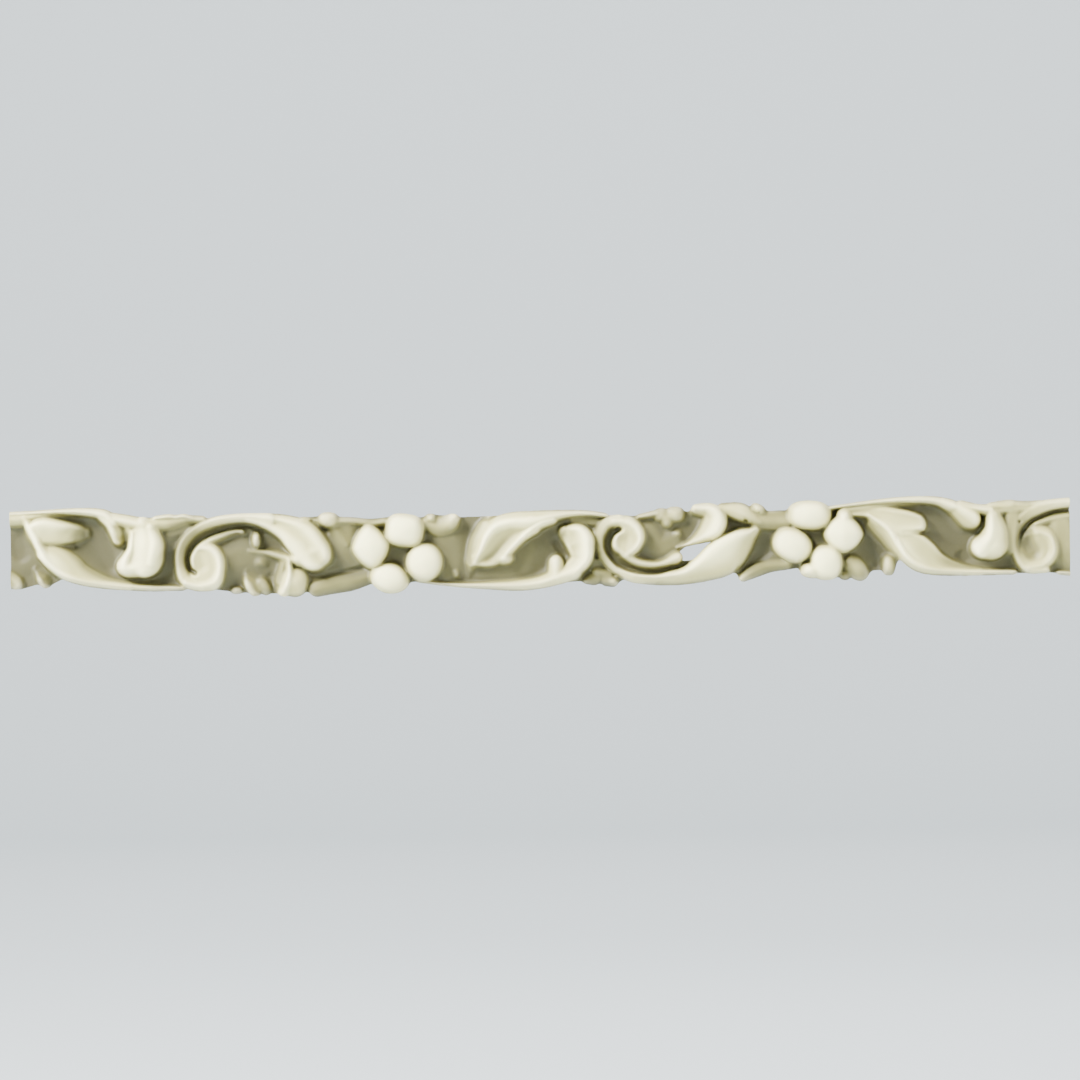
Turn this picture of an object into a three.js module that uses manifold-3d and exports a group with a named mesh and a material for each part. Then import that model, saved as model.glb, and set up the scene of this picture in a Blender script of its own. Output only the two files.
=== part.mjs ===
// A strip of cast flexible moulding: leaf scrolls, curled volutes and four-petalled flowers on a thin
// web. Every second half of the run is turned over. The strip lies along X, its width stands up Z,
// its flat back is at Y = 0 and the carving faces -Y. Millimetres.
import * as THREE from "three";
import { mergeVertices } from "three/addons/utils/BufferGeometryUtils.js";
import Module from "manifold-3d";

const wasm = await Module();
wasm.setup();

const LENGTH = 382; // cut square at both ends
const REPEAT = 304; // one full run of the pattern, both halves
const RELIEF = 9.8; // the tallest petals over the back
const WEB = 2.2; // the ground between the carved forms
const ROUNDING = 1.4; // radius worn on the edges of leaves and ribs
const BEHIND = 1; // stock behind the back plane, cut off at the end
const SHORT_SPAN = 3.0; // between the sections of a small form
const LONG_SPAN = 5.2; // between the sections of a large one
const SQUARENESS = 2.3; // an oval's outline, 2 for a true ellipse
const SHOULDER = 0.8; // where a profile's corner stands before it is placed

// The pattern is drawn on a grid with 844 steps to one full run.
const DRAWN_RUN = 844;
const STEP = REPEAT / DRAWN_RUN;
const DRAWN_HALF = 540;
const TALLEST = 9.8;
const RISE = RELIEF / TALLEST;

// Share of the crest height at five places across a form, right side of its travel first.
const PROFILES = {
  round: [0.8, 0.95, 1, 0.95, 0.8],
  petal: [0.86, 0.97, 1, 0.97, 0.86],
  dish: [0.96, 0.95, 0.86, 0.95, 0.96],
  cup: [0.9, 0.86, 0.78, 0.88, 0.92],
  rightHigh: [0.98, 0.92, 0.82, 0.72, 0.6],
  leftHigh: [0.6, 0.74, 0.84, 0.93, 0.97],
  flute: [0.9, 0.98, 0.84, 0.97, 0.88],
  keel: [0.66, 0.86, 1, 0.84, 0.74],
};

// A form of the carving: a profile swept along stations of [along, across, half width, crest].
function form(profile, ...stations) {
  return { profile, stations };
}

// An oval dome: a petal, a bead, a lobe or the eye of a volute, its long way leaning by some degrees.
function oval(profile, along, across, halfLong, halfWide, lean, crest) {
  return { profile, stations: [[along, across, halfWide, crest]], halfLong, lean };
}

function petal(along, across, halfLong, halfWide, lean, crest) {
  return oval("petal", along, across, halfLong, halfWide, lean, crest);
}

function lobe(along, across, halfLong, halfWide, lean, crest) {
  return oval("round", along, across, halfLong, halfWide, lean, crest);
}

function leftEnd() {
  return [
    form("round", [-534, -20, 5, 4.2], [-526, -29.5, 8, 4.8]),
    form("round", [-503, -18, 4.5, 4.2], [-499, -26, 7, 5], [-496, -30, 6.2, 5]),
  ];
}

function firstLeaf() {
  return [
    form("round", [-546, 37.8, 2.6, 4.8], [-505, 39.3, 2.6, 5], [-475, 40.2, 3.4, 5.5],
      [-452, 39.2, 4.7, 6.2], [-438, 35.5, 6.8, 7], [-429, 27, 8.8, 7.4], [-424, 16, 8.6, 7]),
    form("round", [-430, 33, 6, 7], [-414, 29.5, 7, 7.2], [-398, 26, 7.5, 7.4], [-386, 26, 7, 6]),
    form("leftHigh", [-526, 29, 6, 7.4], [-505, 24, 11.5, 7.8], [-489, 19.5, 14, 7.2], [-474, 18.5, 11, 6],
      [-462, 19.5, 5, 4.6]),
    form("rightHigh", [-495, 3, 8, 7.8], [-485, -5, 12, 7.8], [-474, -12, 14, 7.2], [-462, -19, 13, 6.2],
      [-450, -24, 8.5, 5.4]),
    form("round", [-546, 30, 5.5, 7.2], [-514, 27.5, 7, 8], [-505, 15, 5.2, 8.6], [-500, 3, 5, 8.6],
      [-491, -12, 5, 8.4], [-478, -22.5, 4.8, 7.8], [-460, -29.3, 4.6, 6.8], [-440, -32.9, 4.6, 6],
      [-415, -35.5, 4.2, 5.4], [-390, -37.5, 3.6, 5], [-358, -38, 2.8, 5]),
  ];
}

function firstCurl() {
  return [
    form("round", [-408, 14, 5, 7.4], [-411, -2, 7, 8], [-412.5, -15.5, 11.3, 8.2]),
    form("round", [-396, 21, 12, 7.2], [-392.5, 8, 17, 8.2], [-392.5, -6, 17.7, 8.7]),
    form("round", [-386, 27, 7, 5.4], [-370, 28, 8, 5.4], [-356, 31.3, 4.8, 5.2], [-350, 32, 2.6, 4.8]),
  ];
}

function firstVolute() {
  return [
    form("round", [-340, -35, 6, 6.4], [-355, -29.5, 7, 6.2], [-360.3, -14, 6.2, 6], [-359.5, 0, 6, 5.8],
      [-353, 12, 6, 5.8], [-342, 21, 5.6, 5.8], [-326, 27.6, 5.4, 6], [-308, 30.7, 4.9, 6.2],
      [-290, 31, 5.2, 6.8], [-272, 28.5, 7.5, 7.4]),
    oval("dish", -333, -16.5, 24, 18.2, 95, 7.8),
    form("round", [-335, 5, 7, 5.6], [-322, 11, 5.5, 4.6], [-310, 15.3, 4.5, 4.2], [-299.5, 17, 4.3, 4.8]),
    lobe(-284, 9, 8.4, 4.2, 90, 4.7),
    lobe(-280, -13.5, 7.6, 4.7, 0, 3.3),
    form("round", [-291, -27, 4.5, 4.4], [-288.5, -35, 7.6, 5.4], [-285, -41, 6.2, 5.2]),
    lobe(-277.5, -37, 9.8, 5.5, -54, 3.9),
    lobe(-304, -41, 7, 4, 0, 4.4),
  ];
}

function firstFold() {
  return [
    form("round", [-284, -3, 2.5, 3.4], [-272, -4, 3.2, 3.8], [-259, -7, 4, 5], [-250, -11, 4.5, 6.2]),
    form("keel", [-254, -15, 8, 6.6], [-250, -25, 12.5, 7.4], [-247.3, -33.5, 15, 7.4]),
    form("round", [-254, -34, 7, 6.8], [-256.5, -41, 7.2, 6.9]),
    form("flute", [-290, 31, 5.3, 6.8], [-270, 27.3, 8.5, 7.4], [-251, 20, 14, 8], [-236, 8.5, 20, 8.5],
      [-226.5, -3, 19.2, 8.4]),
    form("round", [-232, -4, 10, 7.8], [-238.5, -8.5, 10.4, 8.2]),
    lobe(-211.5, 27.5, 11.5, 8.8, 0, 6.2),
    form("round", [-224, -40.5, 8.5, 5], [-208, -37, 9.3, 4.8], [-190, -34, 9.5, 4.4], [-174, -30, 8, 4.4]),
  ];
}

// Four petals turned round a dark hollow, with small leaves showing behind.
function firstFlower() {
  return [
    petal(-169.5, 0.5, 22, 18.2, 97, 9.7),
    petal(-134.5, 16.5, 20.8, 17, -8, 9.8),
    petal(-116, -15.5, 19.6, 18.8, 70, 9.7),
    petal(-151, -31, 20, 15.4, -14, 9.4),
    form("round", [-112, 25, 7, 4.8], [-100, 21.5, 10.5, 5], [-91, 24, 9.5, 5.6], [-87, 26, 7, 5.7]),
    lobe(-109, 28, 6.5, 5.3, 0, 5),
  ];
}

function middleLeaf() {
  return [
    form("round", [-71, -14.5, 5.2, 5.8], [-62, -3, 7, 7.6], [-54, 10, 8, 8.2], [-44, 19, 9, 8.2],
      [-28, 23, 9.8, 8.2], [-9, 23.3, 11, 8.2], [12, 28.5, 6.5, 7], [32, 31, 3.9, 6], [50, 30.9, 3.1, 5.4],
      [66, 28.8, 2.5, 5.2]),
    form("cup", [-60, -13.5, 7, 5.6], [-46, -8.5, 11.5, 6.6], [-35, 2, 13, 7.4], [-22, 12.5, 12, 7.8],
      [-8, 21, 10, 7.8]),
    lobe(-36, -13.2, 9.5, 6.2, 0, 7),
    form("round", [-122, -34, 2.2, 4.5], [-95, -37.5, 2.4, 4.5], [-75, -39, 3.2, 4.9], [-50, -39.2, 5.2, 5.4],
      [-25, -38.8, 7, 6.2], [-3, -36.4, 7.8, 7.2], [15, -32.4, 8.8, 7.6], [32, -26.5, 9.5, 8]),
    form("round", [15, -27, 10, 7.6], [14.5, -18.2, 8, 7.4]),
  ];
}

function secondCurl() {
  return [
    form("round", [33, -25, 9, 8], [41, -14, 10.4, 8.4], [41, -2, 13, 8.6], [38, 6, 14, 8.4],
      [27, 11.7, 8.4, 7.2]),
    form("round", [46, -36.3, 3.8, 4], [54, -34.5, 7, 4]),
    form("round", [57, -28.5, 5, 4.4], [66, -31, 6.5, 4.2]),
    form("round", [66, -36.5, 6, 4.2], [72.3, -37.3, 6.1, 4.8]),
  ];
}

function secondVolute() {
  return [
    form("flute", [95, -33.5, 6.3, 6.3], [112, -35.2, 6.6, 6.6], [130, -35.2, 7.4, 7.2],
      [148, -32.2, 9.4, 7.9], [166, -24.5, 14.3, 8.4], [184, -14, 19.2, 8.6], [198, -3, 15, 8.2],
      [210, 6, 8, 7.4], [216, 10.5, 4.5, 6.6]),
    form("round", [112, -35.2, 6.6, 6.6], [95, -33.3, 6.4, 6.3], [80, -28, 5.4, 6], [68, -19, 5, 5.8],
      [61.3, -8, 4.7, 5.7], [60, 2, 4.6, 5.7], [60.5, 11, 6, 5.8], [67, 21, 6.3, 6.1], [79, 24, 5.7, 6.5],
      [91, 19, 9, 7]),
    oval("dish", 89, 7, 19.5, 16.6, 75, 7.8),
    form("round", [86, -11, 7, 6.4], [97, -18, 6.2, 5.6], [112, -20.6, 5.4, 5.2], [124, -19, 5.6, 5.2],
      [134.5, -14.8, 7, 5.8]),
    lobe(122, 28, 8.4, 7.4, 0, 4.8),
    lobe(135.5, 28.8, 10, 8, 0, 5.2),
    lobe(127.3, 23, 8.5, 6, 90, 4.7),
  ];
}

function secondFold() {
  return [
    form("round", [158, 32.7, 6.5, 7.2], [169, 31, 9, 8], [175, 24, 12.3, 8.5], [172.5, 15, 12.6, 8.5],
      [163, 7.5, 8, 7.4], [150, 0.6, 3.6, 5.4], [138, -4, 2, 3.8]),
    form("round", [183, 33.6, 6.4, 6.6], [200, 30, 9.8, 6.6], [210, 25.5, 8, 6], [216, 21, 6, 5]),
    lobe(220, 32.3, 8.4, 5.4, -30, 5.4),
    form("round", [222, 20, 10, 4.4], [242, 20, 11, 4.6]),
    form("round", [203, -35, 5, 4.6], [215, -29, 7, 4], [230, -24.5, 6.5, 3.8], [246, -23, 5.5, 4]),
  ];
}

function secondFlower() {
  return [
    petal(252.5, -3, 20.5, 16.8, -28, 9.6),
    petal(271, 25.8, 23, 14.8, -2, 9.8),
    petal(303.5, 7, 20, 19.3, 88, 9.8),
    petal(286, -21.5, 18, 17, 90, 9.6),
    petal(304.8, 22, 10.5, 8, 90, 8.6),
    petal(271, -29, 11.5, 8.3, -10, 8.9),
    lobe(316, -27.5, 15, 10.4, -45, 5),
    lobe(305, -34.8, 6, 5, 0, 4.4),
    lobe(349, -24.5, 11.5, 7.3, 90, 5.3),
  ];
}

function lastLeaf() {
  return [
    form("round", [285, 32, 2.5, 5], [310, 35.2, 2.3, 5], [340, 38.4, 3, 5.3], [370, 39.8, 3.8, 5.7],
      [395, 38.6, 4.7, 6.2], [411, 33.5, 7.6, 7], [422, 26.5, 11, 7.6], [428.5, 20.8, 12.4, 7.6]),
    form("round", [422, 33, 6, 7], [438, 30, 5, 7.2], [450, 28.5, 6, 7.2]),
    form("leftHigh", [312, 27.5, 3.6, 5.6], [330, 27, 5.3, 6.6], [345, 22, 11, 7.4], [358, 16.5, 14, 7.8],
      [368, 15.3, 13, 7.6], [377, 15, 9.8, 7.2]),
    form("rightHigh", [362, 4, 9, 7.8], [372, -4, 14, 7.8], [382, -13, 15.3, 7.2], [394, -21, 12, 6.2],
      [408, -27, 8, 5.4]),
    form("round", [330, 23, 4, 6.8], [343, 14.5, 6, 7.8], [352, 4, 6.5, 8.4], [359, -7, 6.6, 8.4],
      [367, -17.5, 6.2, 8.2], [378, -26, 6.2, 7.6], [392, -30.5, 5.4, 6.8], [415, -32.7, 4.4, 5.8],
      [440, -33.5, 3.6, 5.2], [474, -34, 2.6, 5]),
    form("round", [450, 26, 7, 7.4], [448, 12, 8, 8.2], [443, 0, 10, 8.6], [438.5, -9, 12.4, 8.6]),
    form("round", [455, 22, 8, 7.2], [456, 10, 12, 8], [454, -1, 15.4, 8.5], [452, -7.5, 15.4, 8.5]),
    form("round", [452, 32.6, 3.6, 5.2], [462, 31.6, 6.3, 5.2], [471, 32.6, 6.3, 5.4], [477, 33.4, 4, 5]),
  ];
}

function lastVolute() {
  return [
    form("round", [505, -31, 4.6, 5.8], [488, -28.5, 6.6, 5.6], [478, -16, 5.8, 5.2], [475.8, -1, 5, 5],
      [478.5, 12, 6, 5], [487, 21.5, 8, 5.2], [500, 28.5, 8, 5.8], [515, 32, 7, 6.2], [546, 34.5, 6.4, 6.4]),
    oval("dish", 499.5, -9, 21.5, 19.6, 92, 6.8),
    form("round", [503, 14, 4.6, 4.6], [518, 18.5, 4.6, 4.8], [546, 22, 4, 5]),
    form("round", [520, -35, 2.6, 4.2], [546, -37.5, 3, 4.6]),
  ];
}

// The edges of the web behind the forms, [along, across].
const WEB_TOP = [
  [-546, 38], [-430, 34], [-395, 33], [-345, 32], [-332, 31.5], [-300, 33], [-240, 31], [-222, 32],
  [-168, 28.8], [-150, 30.5], [-120, 29.5], [-104, 32], [-78, 29.3], [0, 31], [50, 31], [68, 28.8], [96, 28],
  [118, 32.5], [149, 31.5], [165, 36], [200, 35], [228, 31], [248, 31.5], [292, 33], [340, 38], [395, 39],
  [438, 33], [478, 36], [546, 38],
];
const WEB_LOW = [
  [-546, -36], [-520, -37], [-506, -33], [-490, -33], [-476, -26], [-440, -32], [-400, -38], [-330, -39.6],
  [-300, -43.5], [-266, -45], [-234, -44], [-215, -46], [-190, -43], [-168, -35], [-150, -38], [-120, -34.5],
  [-100, -37], [-50, -40], [0, -40], [38, -37], [60, -40], [76, -40], [84, -35.5], [130, -37], [188, -28],
  [197, -32], [226, -31.5], [258, -27], [282, -37], [325, -36.5], [333, -30.5], [342, -30], [359, -16],
  [372, -24], [400, -33], [440, -35.5], [510, -35], [546, -38],
];
const GAP = form("round", [145, -12, 6, 9], [152, -9, 7.5, 9], [163, -3, 4.5, 9], [170, 1, 1.5, 9]);

// The profile's share of the crest, s running from -1 on the right to 1 on the left.
function shareAt(profile, s) {
  const table = PROFILES[profile];
  const place = (THREE.MathUtils.clamp(s, -1, 1) + 1) * 2;
  const k = Math.min(3, Math.floor(place));
  return THREE.MathUtils.lerp(table[k], table[k + 1], place - k);
}

// Sections across an oval, set where its outline turns.
function sectionsOfOval({ stations, halfLong, lean }) {
  const [along, across, halfWide, crest] = stations[0];
  const turn = THREE.MathUtils.degToRad(lean);
  const dir = new THREE.Vector2(Math.cos(turn), Math.sin(turn));
  const places = halfWide * STEP < 3.3 ? [0.5, 0.92] : [0.4, 0.76, 0.96];
  const shares = [...places.slice().reverse().map((t) => -t), ...(places.length > 2 ? [0] : []), ...places];
  return shares.map((t) => {
    const half = halfWide * STEP * (1 - Math.abs(t) ** SQUARENESS) ** (1 / SQUARENESS);
    const fall = Math.abs(t) > 0.9 ? 0.9 * edgeOf(halfWide * STEP) : 0.12 * crest * t * t;
    return {
      centre: new THREE.Vector2(along, across).multiplyScalar(STEP).addScaledVector(dir, t * halfLong * STEP),
      dir,
      half,
      crest: crest * RISE - fall,
    };
  });
}

// Sections along a swept form: centre, direction, half width and crest, with rounded ends.
function sectionsOf(item) {
  const { stations } = item;
  if (item.halfLong) {
    return sectionsOfOval(item);
  }
  const path = new THREE.SplineCurve(stations.map(([a, c]) => new THREE.Vector2(a * STEP, c * STEP)));
  const girth = new THREE.SplineCurve(stations.map((s) => new THREE.Vector2(s[2] * STEP, s[3] * RISE)));
  const length = path.getLength();
  const widest = Math.max(...stations.map((s) => s[2])) * STEP;
  const count = Math.max(2, Math.round(length / THREE.MathUtils.clamp(0.75 * widest, SHORT_SPAN, LONG_SPAN)));
  const sections = [];
  for (let i = 0; i <= count; i++) {
    const t = path.getUtoTmapping(i / count);
    const size = girth.getPoint(t);
    sections.push({
      centre: path.getPoint(t),
      dir: path.getTangent(t).normalize(),
      half: Math.max(0.5, size.x),
      crest: size.y,
    });
  }
  const ends = [];
  for (const [section, way] of [[sections[0], -1], [sections[count], 1]]) {
    const caps = (section.half < 2.7 ? [0.8] : [0.6, 0.94]).map((share) => ({
      centre: section.centre.clone().addScaledVector(section.dir, way * share * section.half),
      dir: section.dir,
      half: section.half * Math.sqrt(1 - share * share),
      crest: section.crest - (share > 0.9 ? 0.9 * edgeOf(section.half) : 0.1),
    }));
    ends.push(way < 0 ? caps.reverse() : caps);
  }
  return [...ends[0], ...sections, ...ends[1]];
}

function edgeOf(half) {
  return Math.min(ROUNDING, 0.7 * half);
}

// How far a section may spread to one side before it runs into its neighbours on a bend.
function reachOf(sections, i, side) {
  const here = sections[i];
  const before = sections[Math.max(0, i - 1)];
  const after = sections[Math.min(sections.length - 1, i + 1)];
  const turn = before.dir.cross(after.dir);
  const span = before.centre.distanceTo(after.centre);
  return turn * side <= 1e-4 ? here.half : Math.min(here.half, (0.92 * span) / Math.abs(turn));
}

// Where a corner of the profile goes on section i. Corners at +-1 are the sides of the form, the
// ones at +-SHOULDER start its rounded edge, and those below zero stand behind the back plane.
function cornerOn(sections, i, profile, x, y) {
  const { centre, dir, half, crest } = sections[i];
  const edge = edgeOf(half);
  const s = Math.abs(x) === 1 ? x : (x / SHOULDER) * (1 - edge / half);
  const out = s * reachOf(sections, i, Math.sign(s));
  const top = crest * shareAt(profile, s) - (Math.abs(x) === 1 ? edge : 0);
  const height = y < 0 ? -BEHIND : Math.max(0.3, top);
  return [centre.x - dir.y * out, -height, centre.y + dir.x * out];
}

// The closed skin of one form: its profile is extruded with a step to a section, then every
// corner is moved to its place on that section.
function skinOf(item) {
  const sections = sectionsOf(item);
  const widest = Math.max(...sections.map((section) => section.half));
  const inner = widest < 2.3 ? [] : widest < 3.3 ? [0] : [-0.45 * SHOULDER, 0.45 * SHOULDER];
  const top = [-SHOULDER, ...inner, SHOULDER].map((x) => [x, 1 - 0.1 * x * x]);
  const corners = [[-1, -1], [-1, 0], ...top, [1, 0], [1, -1]];
  const shape = new THREE.Shape(corners.map(([x, y]) => new THREE.Vector2(x, y)));
  const steps = sections.length - 1;
  const geometry = merged(new THREE.ExtrudeGeometry(shape, { depth: steps, steps, bevelEnabled: false }));
  const position = geometry.getAttribute("position");
  for (let k = 0; k < position.count; k++) {
    const section = Math.round(position.getZ(k));
    position.setXYZ(k, ...cornerOn(sections, section, item.profile, position.getX(k), position.getY(k)));
  }
  return toSolid(geometry);
}

function merged(geometry) {
  geometry.deleteAttribute("normal");
  geometry.deleteAttribute("uv");
  return mergeVertices(geometry, 1e-4);
}

function toSolid(geometry) {
  const vertProperties = Float32Array.from(geometry.getAttribute("position").array);
  const triVerts = Uint32Array.from(geometry.getIndex().array);
  return new wasm.Manifold(new wasm.Mesh({ numProp: 3, vertProperties, triVerts }));
}

// The runs the pattern needs to fill the length: whole repeats either side of the drawn one.
function runs() {
  const extra = Math.max(0, Math.ceil((LENGTH / 2 / STEP - DRAWN_HALF) / DRAWN_RUN));
  return Array.from({ length: 2 * extra + 1 }, (_, i) => i - extra);
}

function carving() {
  const drawn = [
    leftEnd(), firstLeaf(), firstCurl(), firstVolute(), firstFold(), firstFlower(), middleLeaf(),
    secondCurl(), secondVolute(), secondFold(), secondFlower(), lastLeaf(), lastVolute(),
  ].flat();
  const placed = [];
  for (const run of runs()) {
    for (const item of drawn) {
      const stations = item.stations.map(([a, ...rest]) => [a + run * DRAWN_RUN, ...rest]);
      const middle = stations[Math.floor(stations.length / 2)][0];
      if (run === 0 || middle * Math.sign(run) > DRAWN_HALF + (Math.abs(run) - 1) * DRAWN_RUN) {
        placed.push({ ...item, stations });
      }
    }
  }
  return placed;
}

// The ground behind the forms, pierced where two leaves part.
function web() {
  const pieces = runs().map((run) => {
    const shift = run * DRAWN_RUN;
    const shape = new THREE.Shape();
    const outline = [...WEB_TOP, ...WEB_LOW.slice().reverse()];
    outline.forEach(([a, c], i) => shape[i ? "lineTo" : "moveTo"]((a + shift) * STEP, c * STEP));
    const slab = new THREE.ExtrudeGeometry(shape, { depth: WEB + BEHIND, bevelEnabled: false });
    slab.rotateX(Math.PI / 2).translate(0, BEHIND, 0);
    const gap = skinOf({ ...GAP, stations: GAP.stations.map(([a, ...rest]) => [a + shift, ...rest]) });
    return toSolid(merged(slab)).subtract(gap);
  });
  return pieces.reduce((all, piece) => all.add(piece));
}

function strip() {
  let body = web();
  for (const item of carving()) {
    body = body.add(skinOf(item));
  }
  const stock = new THREE.BoxGeometry(LENGTH, 4 * RELIEF, 3 * REPEAT).translate(0, -2 * RELIEF, 0);
  return body.intersect(toSolid(merged(stock)));
}

function toGeometry(body) {
  const { vertProperties, triVerts, numProp } = body.getMesh();
  const positions = [];
  for (let i = 0; i < vertProperties.length; i += numProp) {
    positions.push(vertProperties[i], vertProperties[i + 1], vertProperties[i + 2]);
  }
  const geometry = new THREE.BufferGeometry();
  geometry.setAttribute("position", new THREE.Float32BufferAttribute(positions, 3));
  geometry.setIndex(Array.from(triVerts));
  return geometry;
}

const cream = new THREE.MeshStandardMaterial({ color: "#efe9d6", roughness: 0.6, metalness: 0 });
const moulding = new THREE.Mesh(toGeometry(strip()), cream);
moulding.name = "moulding_strip";
const part = new THREE.Group();
part.name = "flexible_moulding";
part.add(moulding);
export default part;
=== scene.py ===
import math

import bmesh
import bpy
import numpy as np
from mathutils import Matrix, Vector


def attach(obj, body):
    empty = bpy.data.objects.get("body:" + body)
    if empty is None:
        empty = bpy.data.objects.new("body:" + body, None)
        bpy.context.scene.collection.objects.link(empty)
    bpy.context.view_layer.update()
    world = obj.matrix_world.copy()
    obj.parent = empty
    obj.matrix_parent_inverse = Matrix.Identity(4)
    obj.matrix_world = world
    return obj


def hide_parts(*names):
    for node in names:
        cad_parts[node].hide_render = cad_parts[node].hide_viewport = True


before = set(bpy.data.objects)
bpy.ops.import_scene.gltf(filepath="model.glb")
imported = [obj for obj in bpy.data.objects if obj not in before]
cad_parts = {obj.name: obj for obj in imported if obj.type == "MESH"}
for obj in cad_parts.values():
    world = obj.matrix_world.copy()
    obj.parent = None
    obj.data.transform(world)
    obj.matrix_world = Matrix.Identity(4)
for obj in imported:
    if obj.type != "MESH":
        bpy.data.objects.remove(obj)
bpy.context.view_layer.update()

MM = 0.001

# Sizes of the strip, mm
LENGTH = 382.0
REPEAT = 304.0
GROUND = 1.9
TALLEST = 9.58
THINNEST = 0.9

# Painted shade by height, as shares of TONE_TOP in mm: the resin's cream at the top, darkening towards
# olive as the ground sinks, where shade falls.
# The back is coloured as the front is at BACK_TONE. Hollows get painted shade and ridges a painted
# highlight, each mixed in as a colour of its own.
SHADED_TONES = ((0.12, "#464328"), (0.26, "#4d4a2a"), (0.4, "#6d693c"), (0.6, "#aea86e"), (0.92, "#fff9ba"))
TONE_TOP = 10.0
BACK_TONE = 6.6
PAINTED_SHADE_COLOUR = "#514e2e"
PAINTED_HIGHLIGHT_COLOUR = "#fff8d8"

# The pattern is drawn on a grid with 844 steps to one full run. Its edges are looked for in rows
# from ROWS_FROM to ROWS_TO and smoothed along the strip. LOWEST and HIGHEST bound the strip.
DRAWN_RUN = 844.0
STEP = REPEAT / DRAWN_RUN
ROWS_FROM = -54
ROWS_TO = 50
FINE_ROW = 0.3
EDGE_SOFTNESS = 1.1
LOWEST = -48.7
HIGHEST = 43.85

# An oval's outline, 2 for a true ellipse
SQUARENESS = 2.3

# A form's rounded edge: at most this share of the half width, and its fall over its width
EDGE_SHARE = 0.8
EDGE_FALL = 1.4

# How far beyond its sides a form is worked out, in drawing steps
REACH = 22

# Where raised ground, sunk ground and dents fade out, over their half width
SHELF_FADE = 1.3
HOLLOW_FADE = 1.4
DENT_FADE = 1.25
DENT_SLOPE = 0.8

# A groove: the flat share of its half width, the slope of its sides and the fillet at its lips
GROOVE_FLAT = 0.6
GROOVE_WALL = 5
GROOVE_LIP = 0.5

# The pierced gap: a box round it, and two columns inside it that pick the forms it lies between
GAP_ALONG = (135, 180)
GAP_ACROSS = (-26, 8)
GAP_COLUMNS = (150.0, 160.0)

# Laying the gap's border on its line: rounds, the step a slope is measured over, the least slope
SETTLE_ROUNDS = 4
PROBE = 0.05
LEAST_SLOPE = 0.2

# The mesh: columns along the strip, rows from its lower edge to its upper one and how much they
# crowd towards both, the softness of the cast in cells, and the angle from which an edge is sharp
COLUMNS = 1030
ROWS = 88
CROWDING = 0.2
CAST_SOFTNESS = 0.9
CREASE = math.radians(60)

# Hollowness weighs what lies near and what lies further off, each by a blur in cells and a share
NEAR_BLUR, NEAR_SHARE = 3, 0.5
FAR_BLUR, FAR_SHARE = 9, 0.3
HOLLOW_RANGE = (-1.2, 1.6)

# The photograph's framing, with one of its 1080 pixels to a drawing step at the carving's height
TILT = math.radians(0.83)
FRAME_WIDTH = 1080 * STEP
CARVING_HEIGHT = 6
LIFT = 5 * STEP
LENS = 200.0
SENSOR = 36.0

# The floor and the wall it runs up into, metres
FLOOR_HALF = 12.0
FLOOR_FRONT = -10.0
FLOOR_LEVEL = -0.3
BEND_START = 4.0
BEND_RADIUS = 1.2
WALL_TOP = 6.0

# Cross sections. First the share of the crest height at five places across, right side of the
# travel first, then for the right and the left side the rounded edge in mm and the slope of the
# wall below it, last the fillet in mm to what lies beside it.
PROFILES = {
    "rib": ((0.66, 0.9, 1.0, 0.9, 0.66), (1.6, 1.6), (6.0, 6.0), 0.6),
    "rib_soft_left": ((0.72, 0.92, 1.0, 0.82, 0.58), (1.8, 1.2), (4.0, 0.9), 1.5),
    "rib_soft_right": ((0.58, 0.82, 1.0, 0.92, 0.72), (1.2, 1.8), (0.9, 4.0), 1.5),
    "ring": ((0.76, 0.9, 0.97, 1.0, 0.82), (1.0, 1.4), (6.0, 1.6), 0.8),
    "rim": ((0.6, 0.86, 1.0, 0.92, 0.74), (1.2, 1.2), (3.6, 1.6), 1.8),
    "petal": ((0.8, 0.93, 1.0, 0.93, 0.8), (3.0, 3.0), (4.0, 4.0), 0.4),
    "cushion": ((0.72, 0.9, 1.0, 0.9, 0.74), (2.2, 2.2), (6.0, 6.0), 0.7),
    "disc": ((0.84, 0.9, 0.95, 0.98, 1.0), (1.0, 1.2), (5.0, 5.0), 1.0),
    "low": ((0.66, 0.88, 1.0, 0.92, 0.74), (1.0, 1.0), (1.5, 1.5), 1.2),
    "bead": ((0.66, 0.88, 1.0, 0.92, 0.8), (1.8, 1.8), (2.4, 2.4), 1.0),
    "swell": ((0.5, 0.82, 1.0, 0.82, 0.5), (0.6, 0.6), (0.6, 0.6), 1.0),
    "lobe": ((0.8, 0.84, 0.9, 1.0, 0.96), (1.2, 1.6), (1.2, 2.4), 1.6),
    "lobe_soft_left": ((0.98, 0.94, 0.86, 0.72, 0.52), (1.0, 0.8), (6.0, 0.8), 1.6),
    "lobe_crisp": ((0.9, 0.93, 0.84, 0.8, 0.9), (1.6, 1.6), (4.0, 4.0), 1.6),
    "finger": ((0.96, 0.95, 0.76, 0.56, 0.42), (1.8, 0.8), (3.2, 1.0), 1.4),
    "finger_soft": ((0.5, 0.72, 0.94, 1.0, 0.8), (1.4, 2.4), (0.8, 4.5), 1.4),
    "flute": ((0.92, 0.96, 0.8, 0.92, 0.7), (1.4, 2.6), (5.0, 0.9), 1.4),
    "leaf": ((0.64, 0.76, 0.88, 1.0, 0.9), (2.4, 2.2), (4.5, 4.5), 1.2),
    "hook": ((0.92, 1.0, 0.9, 0.78, 0.72), (2.2, 1.3), (5.0, 4.0), 0.9),
    "valley": ((0.95, 0.9, 0.82, 0.92, 1.0), (1.0, 1.0), (5.0, 3.0), 1.8),
}


# The carving, drawn form by form

def form(profile, *stations):
    """A profile swept along stations of (along, across, half width, crest)."""
    return {"profile": profile, "stations": np.array(stations, float)}


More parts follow.
